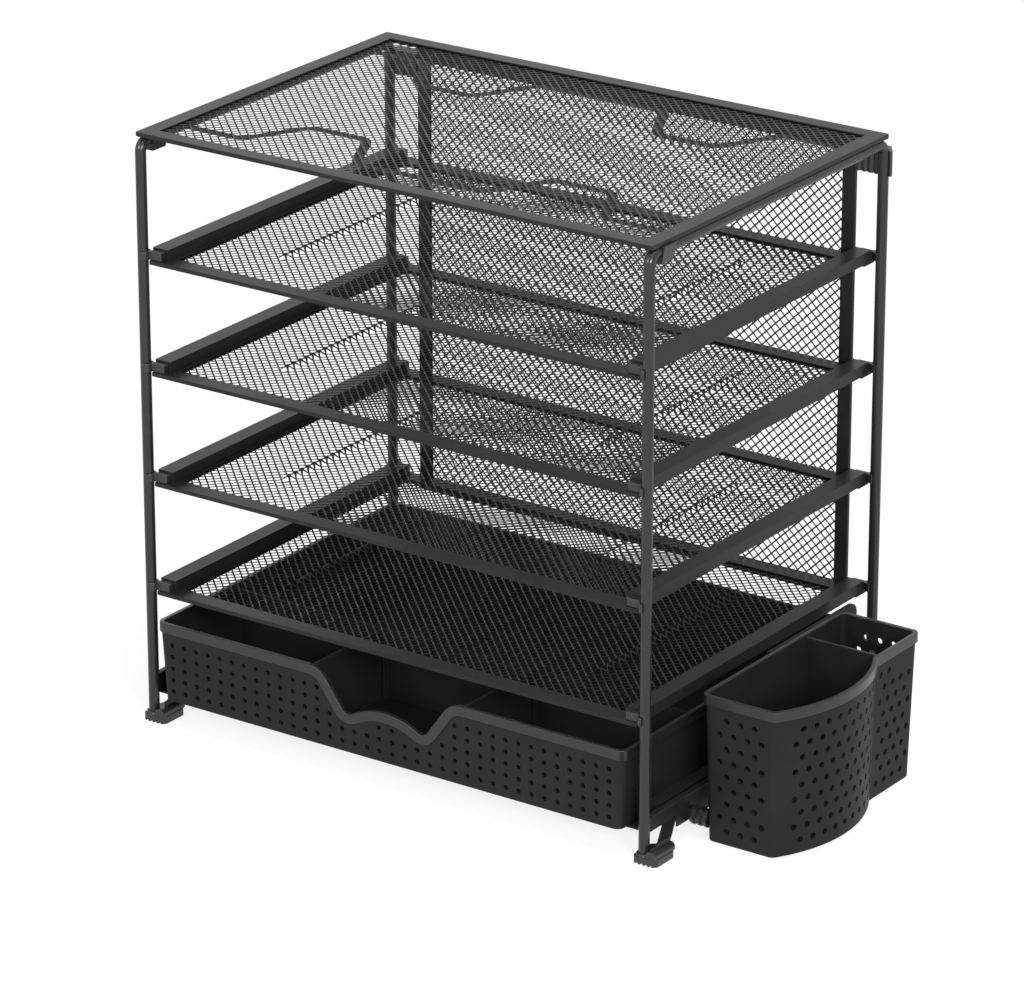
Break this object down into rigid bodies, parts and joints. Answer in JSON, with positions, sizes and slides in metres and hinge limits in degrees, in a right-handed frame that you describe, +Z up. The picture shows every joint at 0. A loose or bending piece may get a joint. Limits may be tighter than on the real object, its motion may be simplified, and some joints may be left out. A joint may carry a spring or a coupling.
{
  "type": "desk file organizer",
  "caption": "Steel mesh desk file organizer with stacked letter trays on wire side frames, a sliding divided drawer below and a lift-off pen holder at the side.",
  "frame": {"origin": "middle of the whole box in plan, at the desk surface under the feet", "axes": "+X to the right seen from the front, +Y to the back, +Z up"},
  "size_m": [0.399, 0.2388, 0.3365],
  "materials": {
    "coated_wire": "black satin powder coat on steel wire",
    "coated_sheet": "black satin powder coat on folded sheet steel",
    "coated_mesh": "black satin powder coat on expanded steel mesh",
    "drawer_plastic": "black moulded plastic, matt",
    "holder_plastic": "black moulded plastic, matt",
    "clip_plastic": "black moulded plastic, matt"
  },
  "bodies": {
    "frame": {"left_side_frame": "coated_wire", "right_side_frame": "coated_wire", "top_rim": "coated_sheet", "top_mesh": "coated_mesh", "tray_1_rim": "coated_sheet", "tray_1_mesh": "coated_mesh", "tray_1_corner_clips": "coated_sheet", "tray_2_rim": "coated_sheet", "tray_2_mesh": "coated_mesh", "tray_2_corner_clips": "coated_sheet", "tray_3_rim": "coated_sheet", "tray_3_mesh": "coated_mesh", "tray_3_corner_clips": "coated_sheet", "tray_4_rim": "coated_sheet", "tray_4_mesh": "coated_mesh", "tray_4_corner_clips": "coated_sheet", "back_rim": "coated_sheet", "back_mesh": "coated_mesh", "back_clip_left": "clip_plastic", "back_clip_right": "clip_plastic", "top_clip_left": "clip_plastic", "top_clip_right": "clip_plastic", "front_left_foot": "clip_plastic", "front_right_foot": "clip_plastic", "rear_left_foot": "clip_plastic", "rear_right_foot": "clip_plastic", "left_runner": "coated_sheet", "right_runner": "coated_sheet", "holder_standoffs": "clip_plastic"},
    "drawer": {"drawer_box": "drawer_plastic", "drawer_cross_divider": "drawer_plastic", "drawer_left_divider": "drawer_plastic", "drawer_right_divider": "drawer_plastic"},
    "pen_holder": {"pen_holder": "holder_plastic"}
  },
  "joints": [
    {"name": "drawer_slide", "type": "slide", "parent": "frame", "child": "drawer", "axis": [0, -1, 0], "range_m": [0, 0.17]},
    {"name": "pen_holder_lift", "type": "slide", "parent": "frame", "child": "pen_holder", "axis": [0, 0, 1], "range_m": [0, 0.1]}
  ]
}
